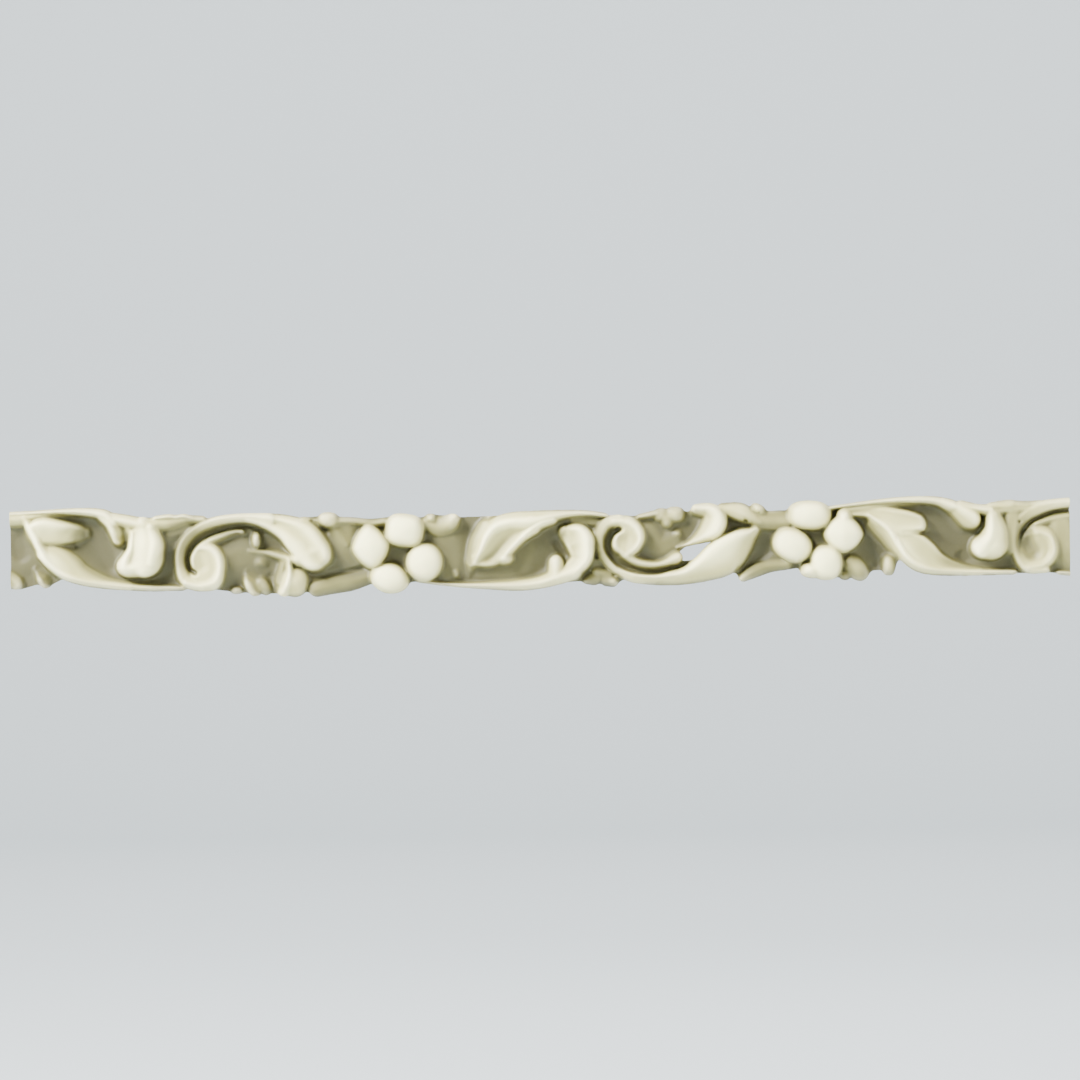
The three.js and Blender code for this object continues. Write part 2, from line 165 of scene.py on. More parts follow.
def oval(profile, along, across, half_long, half_wide, lean, crest, squareness=SQUARENESS):
    """A dome on an oval, its long way leaning by some degrees."""
    return {
        "profile": profile,
        "stations": np.array([(along, across, half_wide, crest)], float),
        "half_long": half_long,
        "lean": math.radians(lean),
        "squareness": squareness,
    }


def left_end():
    return [
        form("low", (-536, -19, 5, 4), (-526, -29.5, 8, 4.9)),
        form("finger", (-504, -17, 5, 2.8), (-498.5, -25, 7, 5.2), (-495.5, -30, 6.4, 5.2)),
    ]


def first_leaf():
    return [
        form("rib", (-546, 37.8, 2.6, 5.6), (-505, 39.3, 2.6, 5.8), (-475, 40.2, 3.4, 6.2),
             (-452, 39.2, 4.7, 6.8), (-436, 36.2, 5.8, 7.4), (-428, 30, 6.4, 7.6)),
        form("finger", (-437, 36, 6, 7.2), (-427, 28.5, 7.6, 7.8), (-422, 19.5, 8.2, 7.6),
             (-421, 13.4, 7.2, 6.9)),
        form("low", (-412, 24, 5, 6.4), (-411.5, 14, 4.4, 5.2)),
        form("cushion", (-430, 33, 6, 7.2), (-414, 29.5, 7, 7.4), (-398, 26, 7.5, 7.4), (-386, 26, 7, 6)),
        form("lobe", (-500, 21, 11.5, 8.2), (-494, 20.3, 13, 7.8), (-484, 19, 12.2, 7.5),
             (-473, 18.4, 10.4, 6.6), (-464, 18.4, 9, 4.9), (-456, 18, 7, 3)),
        form("lobe_soft_left", (-494, -1, 8.6, 8.3), (-484, -6, 12.4, 8), (-472, -13.6, 13.2, 7.3),
             (-460, -20.5, 10, 6.4), (-447, -26, 8, 5.8), (-430, -31.5, 5.6, 5.6), (-412, -35, 4.6, 5.4)),
        form("low", (-546, 33, 8, 5.6), (-520, 33, 8, 5.8), (-508, 35, 5, 5.6), (-494, 36.4, 4, 5),
             (-482, 36.8, 3.6, 4), (-468, 36.4, 3, 2.8)),
        form("rim", (-515, 33, 4, 5.8), (-511, 25, 5, 8), (-505, 14, 5.2, 8.7), (-500, 3, 5, 8.8),
             (-491, -12, 5, 8.6), (-478, -22.5, 4.8, 7.9), (-460, -29.3, 4.6, 6.8), (-440, -32.9, 4.6, 6),
             (-415, -35.5, 4.2, 5.4), (-390, -37.5, 3.6, 5.2), (-358, -38, 2.8, 5)),
    ]


def first_curl():
    return [
        form("rib", (-407.5, 16, 4.5, 7.6), (-409, 2, 4.5, 8.4), (-413.5, -7, 5.6, 8.6),
             (-415, -16, 9.2, 8.6), (-406, -17.5, 9.4, 8.3), (-396, -14, 12, 8)),
        form("cushion", (-397, 22, 12, 7.4), (-394.5, 8, 18, 8.4), (-396, -7, 19.5, 8.4)),
        form("rib", (-389, 20, 8, 7.6), (-386, 6, 10.5, 8.7), (-389, -8, 10, 8.5)),
        form("low", (-388, 26, 7, 6), (-372, 26.8, 8, 5.3), (-360, 29, 7, 5), (-351, 30.3, 5, 4.8),
             (-338, 30, 4.4, 5)),
        form("low", (-384, 32, 3, 5.8), (-371, 33.4, 3.2, 5.7), (-364, 32.5, 2.6, 5.2)),
        form("low", (-364, 33, 2.4, 5.2), (-356, 33.6, 3, 5.6), (-349, 32, 2.6, 5)),
    ]


def first_volute():
    return [
        form("ring", (-340, -35, 6, 6.8), (-355, -29.5, 7, 6.2), (-360.3, -14, 6.2, 4.9),
             (-359.5, 0, 6, 4.6), (-353, 12, 6, 4.7), (-342, 21, 5.6, 5.1), (-326, 27.6, 5.4, 5.8),
             (-308, 30.7, 4.9, 6.4), (-290, 31, 5.2, 7), (-272, 28.5, 7.5, 7.5)),
        oval("disc", -334.5, -15, 21.5, 16.6, 95, 6.6),
        form("rib_soft_right", (-341, 1, 6, 6.8), (-330, 0, 7.4, 7.4), (-322.5, -8, 7, 7.9),
             (-321, -20, 6, 8), (-326, -32, 7.6, 7.7), (-340, -35.5, 6.4, 7.2), (-352, -33, 6.4, 6.8)),
        form("rib_soft_right", (-337, 5.5, 5.5, 6), (-322, 11.6, 5, 4.9), (-310, 16, 4.2, 4.2),
             (-303, 17.5, 3.6, 4.1), (-299, 17.2, 3.6, 4.3)),
        oval("bead", -284, 9, 8.8, 5, 90, 5.4),
        oval("swell", -280, -13.5, 9, 7, 0, 3.7),
        form("finger", (-292, -23, 6, 3.2), (-289, -33, 8.4, 6), (-285.5, -40, 7.4, 6)),
        oval("low", -277.5, -37, 10.4, 6.8, -54, 4.6),
        oval("bead", -304, -41, 7, 4, 0, 4.6),
    ]


def first_fold():
    return [
        form("low", (-290, -2, 3, 3.4), (-272, -4.4, 4.2, 4.2), (-259, -8, 5, 5.2), (-249, -11, 4.5, 6.6)),
        form("swell", (-257, -17, 6, 4.8), (-260, -30, 7, 4.6)),
        form("low", (-236, 26, 6, 5.6), (-224, 24, 6, 5)),
        oval("cushion", -246.5, -33, 15.6, 14.4, 80, 6.9),
        form("rib_soft_right", (-251.5, -13, 3.6, 7), (-251, -24, 4.4, 7.7), (-253, -34, 6, 7.9),
             (-256.5, -41, 7.2, 7.2)),
        form("flute", (-290, 31, 5.3, 7), (-270, 27.3, 8.5, 7.6), (-251, 20, 13.4, 8.1),
             (-236.5, 9.5, 18.4, 8.6), (-227, -3, 18.6, 8.6)),
        form("cushion", (-228, -4, 12, 7.4), (-239, -8.8, 10, 8)),
        oval("bead", -211.8, 28, 11, 8.2, 0, 6.6),
        form("swell", (-205, 19, 8, 4), (-196, 8, 8, 3.8)),
        form("low", (-224, -40.5, 8.5, 4.2), (-208, -37, 9.3, 3.8), (-190, -34, 9.5, 3.4),
             (-174, -30, 8, 3.2)),
        form("low", (-204, 26.5, 5, 4.9), (-185, 26, 4.5, 4.6), (-168, 24, 4.5, 4.6),
             (-155, 25.5, 4.5, 4.8)),
    ]


def first_flower():
    return [
        oval("petal", -169.5, 0.5, 23.4, 19.2, 97, 9.4, 1.5),
        oval("petal", -135.5, 16.5, 19.6, 17, -8, 9.5, 2.8),
        oval("petal", -116, -15.5, 19.6, 18.8, 70, 9.3, 2.1),
        oval("petal", -151, -31, 20.4, 15.6, -14, 9.2, 1.9),
        form("low", (-112, 23, 7, 4.4), (-101, 19.4, 10.4, 4.7), (-91, 22.5, 9.6, 5.6), (-87, 26, 7, 6.2)),
        oval("bead", -109, 28, 6.5, 5.3, 0, 5.4),
    ]


def middle_leaf():
    return [
        form("valley", (-62, -13.5, 7, 6.4), (-48, -9, 11, 6.5), (-37, 2, 12.4, 6.9), (-24, 12.5, 11, 7.4),
             (-8, 20, 9, 7.8)),
        form("rib_soft_left", (-65, -15.5, 4.4, 6.6), (-59, -3, 6, 8.1), (-53, 10, 7.5, 8.6),
             (-44, 19.5, 8.6, 8.6), (-28, 24, 9.4, 8.5), (-9, 24.4, 10, 8.4), (12, 28.8, 6.3, 7.3),
             (32, 31, 3.9, 6.4), (50, 30.9, 3.1, 6), (66, 28.8, 2.5, 5.8)),
        form("rib_soft_left", (-33, -7, 5.4, 7.4), (-27.4, -1, 5.4, 7.7), (-19.5, 7, 5.4, 7.9),
             (-10.5, 14.6, 5.4, 8), (0, 21, 5.6, 7.9), (12, 24.6, 5, 7.4)),
        oval("cushion", -35.5, -12.6, 9.4, 7, 8, 7.6),
        form("rib_soft_left", (-122, -34, 2.2, 4.6), (-95, -37.5, 2.4, 4.8), (-75, -39, 3.2, 5.3),
             (-50, -39.4, 4.8, 5.8), (-25, -39.6, 6.2, 6.5), (-3, -37.6, 6.8, 7.3), (15, -32.4, 8.4, 7.7),
             (32, -26.5, 9.5, 8)),
        form("cushion", (16, -29, 9.4, 7.6), (16, -19, 8.6, 7.6)),
        form("swell", (-67, -13, 9, 5), (-63, 3, 9, 5.6), (-56, 16, 9, 6)),
        oval("low", -84, -27.5, 5.8, 4, 90, 4.1),
    ]


def second_curl():
    return [
        form("hook", (32, -25, 9, 7.9), (41.5, -14, 10.4, 8.4), (41, -2, 13, 8.6), (38, 6, 14, 8.2),
             (26, 12, 8, 5.6)),
        form("low", (46, -36.3, 3.8, 4), (54, -34.5, 7, 4.2)),
        form("low", (57, -28, 5, 4.6), (66, -31, 6.5, 4.3)),
        form("bead", (66, -36.5, 6, 4.4), (72.3, -37.3, 6.1, 5.3)),
    ]


def second_volute():
    return [
        form("ring", (79, 24, 5.7, 6.8), (67, 21, 6.3, 5.8), (60.5, 11, 6, 5), (60, 2, 4.6, 4.8),
             (61.3, -8, 4.7, 4.8), (68, -19, 5, 5.2), (80, -28, 5.4, 5.8), (95, -33.3, 6.4, 6.4),
             (112, -35.2, 6, 5.6)),
        oval("disc", 88, 6, 18, 15.4, 75, 6.6),
        form("rib_soft_right", (76, 22.5, 5.6, 6.8), (89, 20.5, 7.6, 7.5), (98, 13, 6.8, 7.9),
             (100, 3.6, 5, 7.8), (95, -4.6, 5, 7.1), (88, -10, 5.4, 6.4)),
        form("rib_soft_left", (85, -10, 6, 6.4), (97, -18, 5.8, 5.9), (112, -21, 5, 5.6),
             (124, -19.4, 5, 5.8), (135.5, -15, 7.2, 6.4)),
        oval("low", 122, 28, 8.4, 7.4, 0, 5),
        oval("low", 135.5, 28.8, 10, 8, 0, 5.3),
        oval("low", 127.3, 23, 8.5, 6, 90, 4.9),
        oval("swell", 138, 9, 6, 5.2, 0, 4),
        form("low", (100, 26.5, 3.2, 4.8), (116, 29.5, 4, 4.8)),
    ]


def second_fold():
    return [
        form("leaf", (95, -33.5, 6.3, 6.5), (112, -35.2, 6.6, 6.8), (130, -35.2, 7.4, 7.4),
             (148, -32.2, 9.4, 8), (166, -24.5, 14.3, 8.5), (184, -14, 19.2, 8.7), (198, -3, 15, 8.3),
             (210, 6, 8, 7.5), (216, 10.5, 4.5, 6.8)),
        form("finger_soft", (158, 32.7, 6.5, 7.2), (169, 31, 9, 8), (175, 24, 12.3, 8.6),
             (172.5, 15, 12.6, 8.5), (163, 7.5, 8, 7.4), (150, 0.6, 3.6, 5.6), (138, -4, 2, 4)),
        form("rib", (184, 33.6, 6.2, 6), (200, 30, 9.8, 6.8), (210, 25.5, 8, 6.4), (218, 21, 6, 5.2)),
        oval("bead", 219, 32.6, 8.2, 5.4, -30, 6.2),
        form("low", (221, 21, 10, 5), (242, 20.5, 10.6, 5)),
        form("low", (203, -35, 5, 5), (215, -29, 7, 4.2), (230, -24.5, 6.5, 3.8), (246, -23, 5.5, 4.2)),
    ]


def second_flower():
    return [
        oval("petal", 252.5, -3.5, 21, 17, -28, 9.2, 2.2),
        oval("petal", 270, 25.8, 22.6, 15, -2, 9.4, 2.4),
        oval("petal", 303.5, 7, 20, 20.4, 88, 9.5, 1.6),
        oval("petal", 286, -21.5, 18, 17, 90, 9.2, 2.3),
        oval("cushion", 304.8, 22.5, 10.4, 8.4, 90, 8.4),
        oval("cushion", 271, -29, 11.5, 8.3, -10, 8.2),
        oval("low", 316, -27.5, 15, 10.4, -45, 5),
        oval("bead", 305, -34.8, 6, 5, 0, 4.4),
        oval("bead", 349, -24.5, 11.5, 7.3, 90, 5.8),
    ]


def last_leaf():
    return [
        form("rib", (285, 32, 2.5, 5.6), (310, 35.2, 2.3, 5.6), (340, 38.4, 3, 6), (370, 39.8, 3.8, 6.4),
             (395, 38.6, 4.7, 6.8), (411, 33.5, 7, 7.4)),
        form("low", (306, 30.5, 4, 5), (330, 33, 4, 5.2), (346, 34.5, 3.6, 4.8), (362, 35, 3.4, 3.8),
             (378, 35.2, 3, 2.8)),
        form("swell", (336, 15, 8, 5), (349, 0, 8, 5.4), (358, -14, 7, 5)),
        form("low", (470, 29, 6, 5.2), (486, 29, 6, 5.4)),
        form("finger_soft", (404, 36.5, 5, 6.8), (413, 31.8, 7.4, 7.4), (422.5, 25.5, 10, 7.9),
             (429, 20.8, 12, 7.9)),
        form("cushion", (422, 33, 6, 7.2), (438, 30, 5, 7.2), (450, 28.5, 6, 7.2)),
        form("lobe_crisp", (312, 27.5, 3.6, 5.8), (330, 27, 5.3, 6.8), (345, 22, 10.4, 7.8),
             (358, 17, 13.4, 8), (368, 15.8, 12.4, 7.8), (377, 15.4, 9.6, 7.6)),
        form("lobe_crisp", (364, 2, 8, 8.1), (373, -5, 13, 8), (383, -14, 14.2, 7.5), (395, -22, 11, 6.7),
             (409, -27.5, 8, 6), (426, -31.5, 5.6, 5.6), (440, -33, 4, 5.4)),
        form("rib_soft_right", (330, 24, 4, 6.8), (344, 14.5, 5.4, 7.9), (353, 4, 5.8, 8.6),
             (359.6, -7, 6, 8.6), (367, -17.5, 6.2, 8.4), (378, -26, 6.2, 7.7), (392, -30.5, 5.4, 6.9),
             (415, -32.7, 4.4, 6), (440, -33.5, 3.6, 5.6), (474, -34, 2.6, 5.4)),
        form("cushion", (455, 22, 8, 7.4), (456, 10, 12, 7.8), (454, -1, 15.2, 7.9), (453, -6.8, 14.8, 8),
             (444, -8.2, 12.6, 8.4)),
        form("rib", (452, 26, 6, 7.4), (452, 12, 7.4, 8.6), (450, 1, 9, 8.9), (444, -7.5, 11.6, 8.9)),
        form("low", (452, 32.6, 3.6, 5.8), (462, 31.6, 6.3, 5.6), (471, 32.6, 6.3, 5.8),
             (477, 33.2, 4.6, 5.4), (489, 32.6, 4.6, 5.2), (501, 34.4, 3.6, 5.6)),
        form("low", (463, 27, 4, 5.2), (470, 27, 3.4, 4.8)),
    ]


def last_volute():
    return [
        form("ring", (505, -31, 4.6, 6.2), (488, -28.5, 6.6, 5.8), (478, -16, 5.8, 5),
             (475.8, -1, 5.4, 4.7), (478.5, 12, 6.4, 4.8), (487, 21.5, 8, 5.3), (500, 28.5, 8, 6),
             (515, 32, 7, 6.5), (546, 34.5, 6.4, 6.8)),
        oval("disc", 499.5, -9, 21.5, 19.6, 92, 5.2),
        form("rib_soft_right", (488, 2, 5, 5.2), (498, 5, 6, 5.8), (509, 1.5, 6.2, 6.8),
             (513.4, -8, 5.6, 7), (512, -18, 6, 6.8), (504, -26, 6, 6.4), (490, -29, 5.6, 6)),
        form("swell", (500, 15, 6, 5), (518, 20, 6, 5), (546, 23.5, 5, 5.2)),
        form("low", (520, -35, 2.6, 5), (546, -37.5, 3, 5.6)),
    ]


def carving():
    return (left_end() + first_leaf() + first_curl() + first_volute() + first_fold() + first_flower()
            + middle_leaf() + second_curl() + second_volute() + second_fold() + second_flower()
            + last_leaf() + last_volute())


def shelves():
    """Raised ground between the forms."""
    return [
        form("low", (-524, -14, 10, 2.1), (-508, -12, 8, 2.1)),
        form("low", (-370, 18, 9, 3.2), (-352, 22, 6, 3.4)),
        form("low", (-316, -12, 20, 3.2), (-296, -8, 18, 3), (-284, -10, 14, 2.8)),
        form("low", (-196, 16, 16, 3.6), (-192, -2, 16, 3.2), (-186, -14, 10, 2.8)),
        form("low", (-92, 4, 20, 3), (-88, -14, 18, 3), (-94, -28, 10, 3.2)),
        form("low", (-14, -4, 18, 2.8), (-24, -24, 14, 2.8), (-60, -27, 8, 2.8)),
        form("low", (34, 25, 6, 3.6), (58, 22, 6, 3.4)),
        form("low", (56, 10, 6, 3.6), (57, -22, 8, 3)),
        form("low", (108, 10, 16, 3.2), (118, -4, 14, 3.2), (134, 2, 12, 3)),
        form("low", (226, -14, 10, 2.6), (236, -20, 8, 2.8)),
        form("low", (474, 24, 11, 5), (472, 8, 10, 4.9), (472, -10, 8, 4.6)),
        form("low", (522, 12, 18, 4.7), (532, -16, 22, 4.7)),
    ]


def hollows():
    """Places where the ground between the forms sinks deepest."""
    return [
        form("low", (-470, 33, 5, 1.4), (-452, 22, 10, 1.2), (-440, 6, 16, 1.1), (-430, -12, 10, 1.1)),
        form("low", (-522, 10, 10, 1.4), (-520, -2, 8, 1.5)),
        form("low", (-371, -4, 6, 1.5), (-378, -22, 8, 1.2), (-400, -29, 3, 1.2)),
        form("low", (-273, 8, 8, 1), (-260, 3, 6, 1)),
        form("low", (-270, -30, 6, 1.2)),
        form("low", (-240, -22, 2, 1.2), (-225, -27, 3.4, 1), (-205, -25, 2, 1.2), (-176, -20, 2.4, 1.4)),
        form("low", (18, 2, 6, 1.3), (27, -14, 5, 1)),
        form("low", (56, -10, 4, 1.2)),
        form("low", (148, 20, 4, 1.6), (124, 14, 3, 2)),
        form("low", (188, 24, 6, 1), (194, 17, 5, 1), (208, 16.5, 2, 1.4)),
        form("low", (232, 2, 6, 1.4), (224, -8, 8, 1.5), (203, -25, 2.4, 1.1)),
        form("low", (329, 10, 10, 1.3), (328, -6, 8, 1.4), (336, -26, 3, 1.3), (304, -20, 2.5, 1.4)),
        form("low", (384, 30, 5, 1.5), (400, 18, 10, 1.4), (410, 4, 12, 1.2), (424, -2, 12, 1),
             (438, -8, 12, 1), (426, -16, 9, 1)),
        form("low", (444, 16, 8, 1.6), (438, 6, 9, 1.2)),
    ]


def grooves():
    """The narrow cuts inside the volutes and two small pits, each station's last number the level
    of its bottom."""
    return [
        form("low", (-345.5, -23, 1.8, 2.4), (-351, -18.5, 2, 1.2), (-352.8, -9, 2, 1),
             (-349.5, 0.5, 2.1, 1), (-341.5, 9.4, 2.3, 1), (-328, 16.6, 2.1, 1), (-312, 21.6, 1.8, 1.2),
             (-297, 23.6, 1.8, 1.2), (-286, 21.6, 1.9, 1.2), (-277, 17, 2.6, 1)),
        form("low", (79, 14.6, 2.2, 1.6), (72, 10, 3.2, 1), (68.6, 1, 3.5, 1), (70.6, -9, 3.3, 1),
             (77, -18, 3, 1), (88, -24.2, 2.5, 1), (102, -27.9, 2, 1.2), (117, -28.7, 1.6, 1.6),
             (131, -24.6, 1.9, 1.2)),
        form("low", (481, 1, 1.6, 2), (484, 8.6, 1.8, 1.6), (491, 15.8, 1.8, 1.6), (502, 21.4, 1.7, 1.8),
             (516, 26, 1.6, 2), (546, 29.6, 1.5, 2.4)),
        form("low", (480, 16.5, 1.2, 3.2)),
        form("low", (206, 21.2, 1.2, 2.6)),
    ]


def dents():
    """Soft dips in the forms, each station's last number how deep."""
    return [
        form("low", (-500, 8.5, 2, 0.2), (-484, 7.5, 2, 0.3), (-474, 6.5, 2.4, 0.6), (-467, 5.5, 2.4, 0.9)),
        form("low", (-342, -4, 6, 0.7), (-341, -16, 7, 0.9)),
        form("low", (-413.5, 22, 2.2, 0.6), (-412.5, 13, 2.4, 1)),
        form("low", (-228, 27, 2, 1.4), (-219, 21, 2.2, 1.6), (-213, 16.5, 2, 1)),
        form("low", (-52, -13, 4, 0.4), (-40, 3, 5, 0.6), (-30, 14, 5, 0.4)),
        form("low", (37, -2, 6, 0.7), (36, 8, 6, 0.6)),
        form("low", (84, 2, 7, 0.9), (82, -8, 5, 0.4)),
        form("low", (364, 7.5, 2, 0.4), (374, 7.5, 2.2, 0.6), (382, 6.6, 2.6, 1.8)),
        form("low", (487, 3, 7, 2), (487, -6, 8, 2.3), (492, -14, 8, 1.6)),
    ]


WEB_TOP = np.array([
    (-546, 38), (-430, 34), (-395, 33), (-345, 32), (-332, 31.5), (-300, 33), (-240, 31), (-222, 32),
    (-168, 28.8), (-150, 30.5), (-120, 29.5), (-104, 32), (-78, 29.3), (0, 31), (50, 31), (68, 28.8),
    (96, 28), (118, 32.5), (149, 31.5), (165, 36), (200, 35), (228, 31), (248, 31.5), (292, 33), (340, 38),
    (395, 39), (438, 33), (478, 36), (546, 38),
], float)
WEB_LOW = np.array([
    (-546, -36), (-520, -37), (-506, -33), (-490, -33), (-476, -26), (-440, -32), (-400, -38),
    (-330, -39.6), (-300, -43.5), (-266, -45), (-234, -44), (-215, -46), (-190, -43), (-168, -35),
    (-150, -38), (-120, -34.5), (-100, -37), (-50, -40), (0, -40), (38, -37), (60, -40), (76, -40),
    (84, -35.5), (130, -37), (188, -28), (197, -32), (226, -31.5), (258, -27), (282, -37), (325, -36.5),
    (333, -30.5), (342, -30), (359, -16), (372, -24), (400, -33), (440, -35.5), (510, -35), (546, -38),
], float)
GAP = form("low", (145, -12, 6, 9), (152, -9, 7.5, 9), (163, -3, 4.5, 9), (170, 1, 1.5, 9))


# From the drawing to heights

def smooth_run(stations, per_span=8):
    """Stations run smoothly through one another by a Catmull-Rom curve."""
    if len(stations) == 1:
        return np.vstack([stations, stations + (0.01, 0, 0, 0)])
    ends = np.vstack([2 * stations[0] - stations[1], stations, 2 * stations[-1] - stations[-2]])
    t = (np.arange(per_span) / per_span)[:, None]
    spans = [between(t, *four) for four in zip(ends[:-3], ends[1:-2], ends[2:-1], ends[3:])]
    return np.vstack(spans + [stations[-1:]])


def between(t, a, b, c, d):
    """The smooth curve from b to c, t running from 0 to 1."""
    squared = 2 * a - 5 * b + 4 * c - d
    cubed = 3 * b - a - 3 * c + d
    return 0.5 * (2 * b + (c - a) * t + squared * t * t + cubed * t ** 3)


def nearest(item, u, v):
    """Per point: distance out over half width, place across, half width and crest there. The place
    across is signed on a swept form, and on an oval the same as the distance out."""
    if "half_long" in item:
        along, across, wide, crest = item["stations"][0]
        c, s = math.cos(item["lean"]), math.sin(item["lean"])
        x = np.abs((u - along) * c + (v - across) * s) / item["half_long"]
        y = np.abs((v - across) * c - (u - along) * s) / wide
        ratio = (x ** item["squareness"] + y ** item["squareness"]) ** (1 / item["squareness"])
        return ratio, ratio, wide * np.ones_like(u), crest * np.ones_like(u)
    run = smooth_run(item["stations"])
    ratio = np.full(u.shape, 1e9)
    place, half, crest = np.zeros(u.shape), np.ones(u.shape), np.zeros(u.shape)
    for a, b in zip(run[:-1], run[1:]):
        du, dv = b[:2] - a[:2]
        size = du * du + dv * dv
        t = np.clip(((u - a[0]) * du + (v - a[1]) * dv) / size, 0, 1)
        ou, ov = u - (a[0] + t * du), v - (a[1] + t * dv)
        w = a[2] + t * (b[2] - a[2])
        q = np.hypot(ou, ov) / w
        closer = q < ratio
        ratio = np.where(closer, q, ratio)
        place = np.where(closer, (du * ov - dv * ou) / (math.sqrt(size) * w), place)
        half = np.where(closer, w, half)
        crest = np.where(closer, a[3] + t * (b[3] - a[3]), crest)
    return ratio, place, half, crest


def share(shares, place):
    """The profile's share of the crest, run smoothly between its five values."""
    table = np.array(shares)
    table = np.concatenate([[2 * table[0] - table[1]], table, [2 * table[-1] - table[-2]]])
    f = (np.clip(place, -1, 1) + 1) * 2
    i = np.clip(f.astype(int), 0, 3)
    return between(f - i, table[i], table[i + 1], table[i + 2], table[i + 3])


def height_of(item, u, v):
    """The height of one form at each point, mm: its profile, rounded edge and wall."""
    shares, edges, walls, _ = PROFILES[item["profile"]]
    ratio, place, half, crest = nearest(item, u, v)
    side = np.clip(0.5 + 0.5 * place / np.maximum(ratio, 1e-6), 0, 1)
    edge = np.minimum(edges[0] + (edges[1] - edges[0]) * side, EDGE_SHARE * half * STEP)
    wall = walls[0] + (walls[1] - walls[0]) * side
    out = (ratio - 1) * half * STEP
    q = np.clip((out + edge) / edge, 0, 1)
    fall = EDGE_FALL * edge * (1 - np.sqrt(1 - q * q))
    return crest * share(shares, place) - fall - wall * np.maximum(0, out)


def melt_max(a, b, fillet):
    """The higher of two heights, with a fillet where they meet."""
    gap = np.clip(fillet - np.abs(a - b), 0, fillet)
    return np.maximum(a, b) + gap * gap / (4 * max(fillet, 1e-6))


def ease(t):
    t = np.clip(t, 0, 1)
    return t * t * (3 - 2 * t)


def window(item, along):
    """The columns that a form can reach."""
    stations = item["stations"]
    reach = max(stations[:, 2].max(), item.get("half_long", 0)) + REACH
    return (along >= stations[:, 0].min() - reach) & (along <= stations[:, 0].max() + reach)


def bell(sigma):
    """The weights of a bell curve, and how many of them lie to each side of its middle."""
    reach = int(3 * sigma) + 1
    weights = np.exp(-0.5 * (np.arange(-reach, reach + 1) / sigma) ** 2)
    return weights / weights.sum(), reach


def soften(values, sigma):
    """A row of values smoothed, with its ends held."""
    weights, reach = bell(sigma)
    return np.convolve(np.pad(values, reach, mode="edge"), weights, mode="valid")


def edges_of(along):
    """The strip's lower and upper edge at each column, from the web and the forms on it."""
    rows = np.arange(ROWS_FROM, ROWS_TO, FINE_ROW)
    u, v = np.meshgrid(along, rows, indexing="ij")
    inside = (v <= np.interp(along, *WEB_TOP.T)[:, None]) & (v >= np.interp(along, *WEB_LOW.T)[:, None])
    for item in carving():
        at = window(item, along)
        if at.any():
            inside[at] |= nearest(item, u[at], v[at])[0] <= 1
    low = rows[inside.argmax(axis=1)]
    top = rows[len(rows) - 1 - inside[:, ::-1].argmax(axis=1)]
    low, top = soften(low, EDGE_SOFTNESS), soften(top, EDGE_SOFTNESS)
    return np.maximum(low, LOWEST), np.minimum(top, HIGHEST)


def blurred(field, sigma, beyond="constant"):
    """A grid smoothed both ways. Beyond its long edges it counts as zero, or with "edge" is held."""
    weights, reach = bell(sigma)
    wide = np.pad(field, ((reach, reach), (0, 0)), mode="edge")
    wide = np.apply_along_axis(lambda line: np.convolve(line, weights, mode="valid"), 0, wide)
    wide = np.pad(wide, ((0, 0), (reach, reach)), mode=beyond)
    return np.apply_along_axis(lambda line: np.convolve(line, weights, mode="valid"), 1, wide)


def hollowness(height):
    """How far each point lies below what is round it, mm, and less than zero on a ridge."""
    near = blurred(height, NEAR_BLUR) - height
    far = blurred(height, FAR_BLUR) - height
    return np.clip(NEAR_SHARE * near + FAR_SHARE * far, *HOLLOW_RANGE)


def each(items, u, v):
    """For every form, the columns it reaches and what `nearest` gives there."""
    along = u[:, 0]
    for item in items:
        at = window(item, along)
        if at.any():
            yield at, nearest(item, u[at], v[at])


def relief(u, v):
    """The carved surface: the ground and its hollows, the forms, then what is cut into them."""
    along = u[:, 0]
    height = np.full(u.shape, GROUND)
    for at, (ratio, _, _, level) in each(shelves(), u, v):
        height[at] += np.maximum(0, level - height[at]) * ease(SHELF_FADE - ratio)
    for at, (ratio, _, _, level) in each(hollows(), u, v):
        height[at] -= np.maximum(0, height[at] - level) * ease(HOLLOW_FADE - ratio)
    for item in carving():
        at = window(item, along)
        if at.any():
            fillet = PROFILES[item["profile"]][3]
            height[at] = melt_max(height[at], height_of(item, u[at], v[at]), fillet)
    for at, (ratio, _, _, depth) in each(dents(), u, v):
        height[at] -= depth * ease(DENT_FADE - DENT_SLOPE * ratio)
    for at, (ratio, _, half, level) in each(grooves(), u, v):
        cut = level + GROOVE_WALL * np.maximum(0, ratio - GROOVE_FLAT) * half * STEP
        height[at] = -melt_max(-height[at], -cut, GROOVE_LIP)
    return np.clip(height, THINNEST, TALLEST)


def gap_room(u, v):
    """How far a point is inside the pierced gap, in drawing steps; below 0 outside it."""
    ratio, _, half, _ = nearest(GAP, u, v)
    room = (1 - ratio) * half
    for item in carving():
        if window(item, np.array(GAP_COLUMNS)).any():
            ratio, _, half, _ = nearest(item, u, v)
            room = np.minimum(room, (ratio - 1) * half)
    return room


# The strip as one mesh

def settle(u, v):
    """Moves points onto the edge of the pierced gap."""
    for _ in range(SETTLE_ROUNDS):
        room = gap_room(u, v)
        gu = (gap_room(u + PROBE, v) - room) / PROBE
        gv = (gap_room(u, v + PROBE) - room) / PROBE
        size = np.maximum(gu * gu + gv * gv, LEAST_SLOPE)
        u, v = u - room * gu / size, v - room * gv / size
    return u, v


